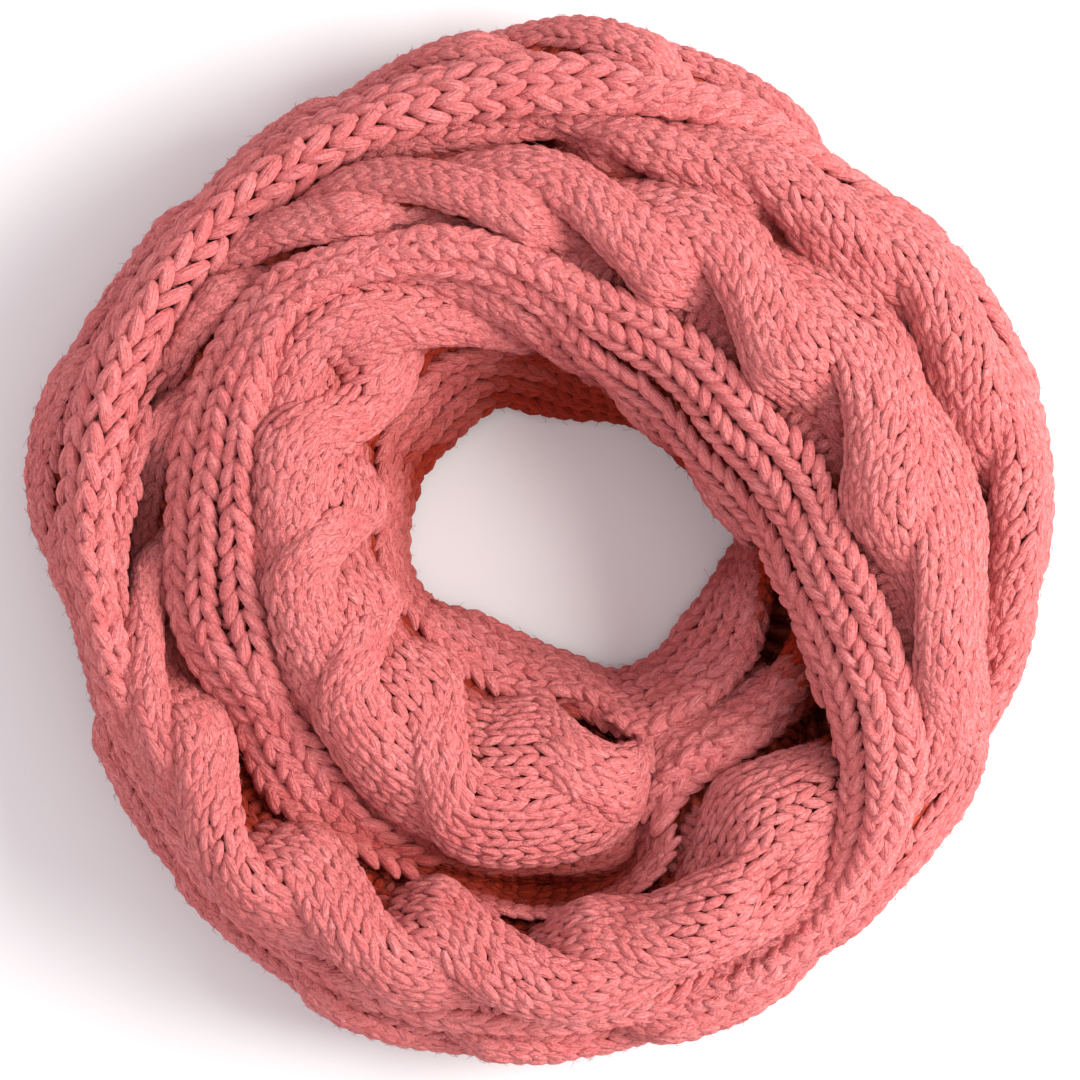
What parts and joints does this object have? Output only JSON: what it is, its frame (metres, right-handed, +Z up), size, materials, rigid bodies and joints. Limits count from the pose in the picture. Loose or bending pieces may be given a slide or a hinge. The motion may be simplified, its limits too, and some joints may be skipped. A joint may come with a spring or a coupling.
{
  "type": "cable knit infinity scarf",
  "caption": "Chunky cable knit infinity scarf: one closed band of soft knitting wound twice into a thick ring and laid flat round an open middle.",
  "frame": {"origin": "middle of the whole scarf's width and depth, on the surface it lies on", "axes": "+Z up through the open middle, -Y towards the viewer of the front, where the band crosses over itself at the right (+X)"},
  "size_m": [0.3536, 0.357, 0.1005],
  "materials": {
    "wool_knit": "soft brushed chunky wool knit",
    "shaded_wool_knit": "the same wool knit, in the folds' shade"
  },
  "bodies": {
    "root": {"crossing_over_stretch": "wool_knit", "inner_turn_right": "wool_knit", "inner_turn_top": "wool_knit", "inner_turn_left": "wool_knit", "inner_turn_bottom": "wool_knit", "outer_turn_bottom": "wool_knit", "outer_turn_left": "wool_knit", "outer_turn_top": "wool_knit", "outer_turn_right": "wool_knit", "lower_layer_right": "wool_knit", "hidden_layers": "shaded_wool_knit"}
  },
  "joints": []
}
